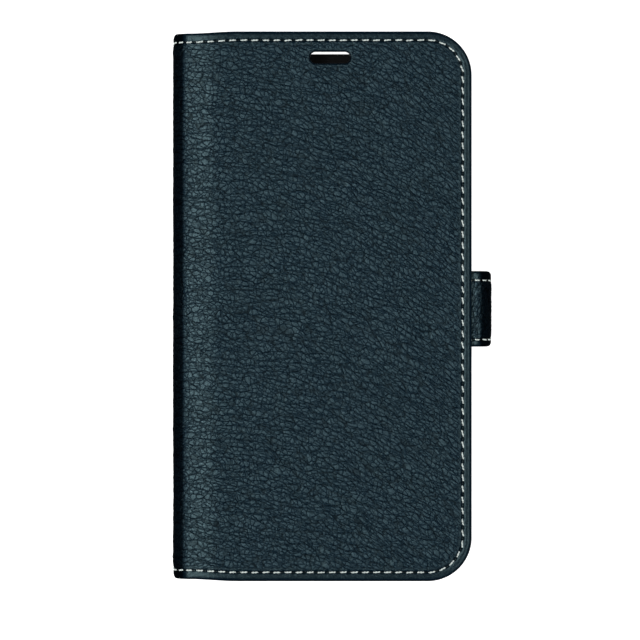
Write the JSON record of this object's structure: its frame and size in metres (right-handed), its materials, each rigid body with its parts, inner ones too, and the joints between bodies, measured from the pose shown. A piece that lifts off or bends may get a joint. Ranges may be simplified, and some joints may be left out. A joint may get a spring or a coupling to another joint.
{
  "type": "phone wallet case",
  "caption": "Book-style leather phone wallet case with a stitched folding cover, card pockets, a moulded phone tray and a magnetic side strap.",
  "frame": {"origin": "on the surface that the closed case lies on, under the middle of its outline", "axes": "+X from the spine to the clasp, +Y to the top of the phone, +Z out of the front cover"},
  "size_m": [0.0958, 0.1646, 0.0177],
  "materials": {
    "cover_leather": "dark blue-green pebbled leather, semi-matt",
    "pocket_leather": "the same leather, split thin and smoother",
    "board": "grey stiffening board",
    "lining": "black brushed microfibre",
    "thread": "pale grey twisted thread",
    "adhesive": "thin double-sided tape",
    "holder": "black, fine matt",
    "steel": "thin sheet",
    "magnet": "nickel-plated magnet"
  },
  "bodies": {
    "back": {"back_leather": "cover_leather", "back_board": "board", "back_lining": "lining", "strap_root": "cover_leather", "back_stitching": "thread", "holder_adhesive": "adhesive", "holder_shell": "holder"},
    "spine": {"spine_leather": "cover_leather", "spine_board": "board", "spine_lining": "lining", "spine_stitching": "thread", "front_fold_leather": "cover_leather", "front_fold_lining": "lining", "back_fold_leather": "cover_leather", "back_fold_lining": "lining"},
    "cover": {"front_leather": "cover_leather", "front_board": "board", "keeper_plate": "steel", "front_lining": "lining", "front_stitching": "thread", "cash_sleeve": "pocket_leather", "card_pocket_1": "pocket_leather", "card_pocket_2": "pocket_leather", "card_pocket_3": "pocket_leather", "pocket_stitching": "thread"},
    "strap_side": {"strap_side_leather": "cover_leather", "strap_side_lining": "lining", "strap_lower_bend": "cover_leather"},
    "strap_tip": {"strap_tip_leather": "cover_leather", "strap_tip_lining": "lining", "clasp_magnet": "magnet", "strap_stitching": "thread", "strap_upper_bend": "cover_leather"}
  },
  "joints": [
    {"name": "spine_fold", "type": "hinge", "parent": "back", "child": "spine", "pos_m": [-0.0463, 0, 0.0016], "axis": [0, -1, 0], "range_deg": [0, 90], "deforming": ["back_fold_leather", "back_fold_lining"]},
    {"name": "cover_fold", "type": "hinge", "parent": "spine", "child": "cover", "pos_m": [-0.0463, 0, 0.0161], "axis": [0, -1, 0], "range_deg": [0, 90], "deforming": ["front_fold_leather", "front_fold_lining"]},
    {"name": "strap_base_bend", "type": "hinge", "parent": "back", "child": "strap_side", "pos_m": [0.04582, -0.00075, 0.00253], "axis": [0, 1, 0], "range_deg": [0, 60], "deforming": ["strap_lower_bend"]},
    {"name": "strap_tip_bend", "type": "hinge", "parent": "strap_side", "child": "strap_tip", "pos_m": [0.04582, -0.00075, 0.01307], "axis": [0, 1, 0], "range_deg": [0, 72], "deforming": ["strap_upper_bend"]}
  ],
  "couplings": [
    {"joint": "strap_base_bend", "follows": "spine_fold", "ratio": 0.6666},
    {"joint": "strap_tip_bend", "follows": "spine_fold", "ratio": 0.8}
  ]
}
